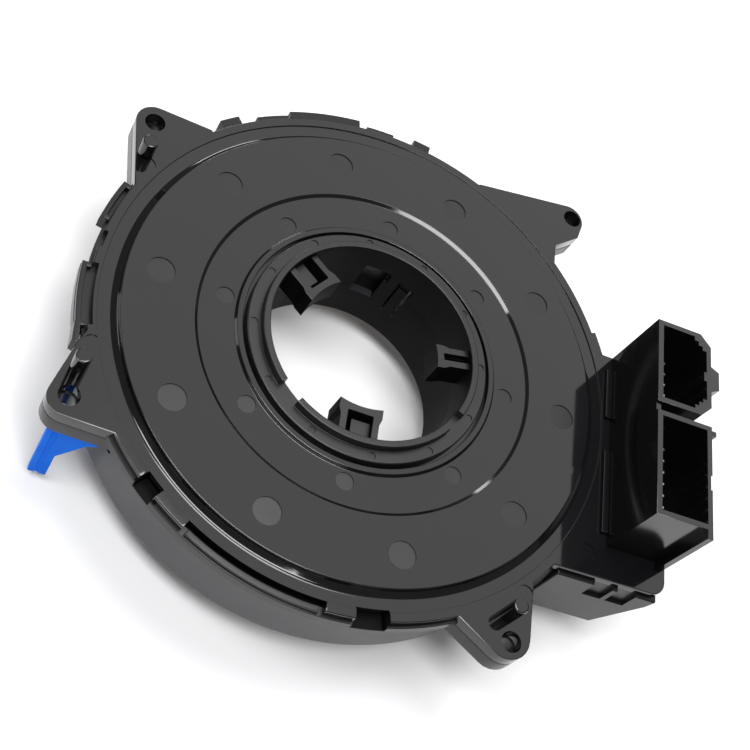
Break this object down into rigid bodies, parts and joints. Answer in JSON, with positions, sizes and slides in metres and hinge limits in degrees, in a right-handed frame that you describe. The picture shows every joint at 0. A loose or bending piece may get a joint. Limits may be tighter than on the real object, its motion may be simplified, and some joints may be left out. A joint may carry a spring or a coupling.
{
  "type": "steering clock spring",
  "caption": "Ring-shaped rotary connector for a steering column, with a turning hub, fixing ears, locating dowels and plug sockets on one side.",
  "frame": {"origin": "on the turning axis at the mouth of the rotor's bore, on the steering wheel side", "axes": "+Z along the steering shaft to the column side, +X to the plug sockets"},
  "size_m": [0.1226, 0.1088, 0.046],
  "materials": {
    "cover_plastic": "glossy moulded black",
    "case_plastic": "semi-gloss moulded black",
    "socket_plastic": "moulded black",
    "rotor_plastic": "semi-gloss moulded black",
    "sleeve_plastic": "semi-gloss moulded black",
    "roller_plastic": "natural acetal",
    "carrier_plastic": "natural acetal",
    "cable_film": "laminated film",
    "glide_film": "smooth film",
    "terminal_metal": "tin plated",
    "squib_plastic": "moulded yellow",
    "switch_plastic": "moulded natural",
    "lock_plastic": "moulded blue"
  },
  "bodies": {
    "stator": {"stator_cover": "cover_plastic", "stator_case": "case_plastic", "terminal_lid": "case_plastic", "socket_block": "socket_plastic", "upper_terminals": "terminal_metal", "lower_terminals": "terminal_metal", "stator_lead_block": "carrier_plastic", "bus_bars": "terminal_metal", "outer_winding": "cable_film", "glide_sheet": "glide_film"},
    "rotor_unit": {"rotor": "rotor_plastic", "sleeve": "sleeve_plastic", "inner_winding": "cable_film", "rotor_lead_block": "carrier_plastic", "squib_socket": "squib_plastic", "squib_terminals": "terminal_metal", "switch_socket": "switch_plastic", "switch_terminals": "terminal_metal"},
    "carrier": {"roller_carrier": "carrier_plastic", "u_turn_cable": "cable_film"},
    "lock": {"lock_pin": "lock_plastic"},
    "roller_1_body": {"roller_1": "roller_plastic"},
    "roller_2_body": {"roller_2": "roller_plastic"},
    "roller_3_body": {"roller_3": "roller_plastic"},
    "roller_4_body": {"roller_4": "roller_plastic"},
    "roller_5_body": {"roller_5": "roller_plastic"},
    "roller_6_body": {"roller_6": "roller_plastic"}
  },
  "joints": [
    {"name": "rotor_spin", "type": "hinge", "parent": "stator", "child": "rotor_unit", "pos_m": [0, 0, 0], "axis": [0, 0, 1], "range_deg": [-900, 900]},
    {"name": "carrier_spin", "type": "hinge", "parent": "stator", "child": "carrier", "pos_m": [0, 0, 0], "axis": [0, 0, 1], "range_deg": [-350, 350]},
    {"name": "roller_1_spin", "type": "hinge", "parent": "carrier", "child": "roller_1_body", "pos_m": [0.0372, 0, 0], "axis": [0, 0, 1], "range_deg": [-2070, 2070]},
    {"name": "roller_2_spin", "type": "hinge", "parent": "carrier", "child": "roller_2_body", "pos_m": [0.0186, 0.03222, 0], "axis": [0, 0, 1], "range_deg": [-2070, 2070]},
    {"name": "roller_3_spin", "type": "hinge", "parent": "carrier", "child": "roller_3_body", "pos_m": [-0.0186, 0.03222, 0], "axis": [0, 0, 1], "range_deg": [-2070, 2070]},
    {"name": "roller_4_spin", "type": "hinge", "parent": "carrier", "child": "roller_4_body", "pos_m": [-0.0372, 0, 0], "axis": [0, 0, 1], "range_deg": [-2070, 2070]},
    {"name": "roller_5_spin", "type": "hinge", "parent": "carrier", "child": "roller_5_body", "pos_m": [-0.0186, -0.03222, 0], "axis": [0, 0, 1], "range_deg": [-2070, 2070]},
    {"name": "roller_6_spin", "type": "hinge", "parent": "carrier", "child": "roller_6_body", "pos_m": [0.0186, -0.03222, 0], "axis": [0, 0, 1], "range_deg": [-2070, 2070]},
    {"name": "lock_pull", "type": "slide", "parent": "stator", "child": "lock", "axis": [-1, 0, 0], "range_m": [0, 0.02]}
  ],
  "couplings": [
    {"joint": "carrier_spin", "follows": "rotor_spin", "ratio": 0.37769},
    {"joint": "roller_1_spin", "follows": "rotor_spin", "ratio": -2.271},
    {"joint": "roller_2_spin", "follows": "rotor_spin", "ratio": -2.271},
    {"joint": "roller_3_spin", "follows": "rotor_spin", "ratio": -2.271},
    {"joint": "roller_4_spin", "follows": "rotor_spin", "ratio": -2.271},
    {"joint": "roller_5_spin", "follows": "rotor_spin", "ratio": -2.271},
    {"joint": "roller_6_spin", "follows": "rotor_spin", "ratio": -2.271}
  ]
}
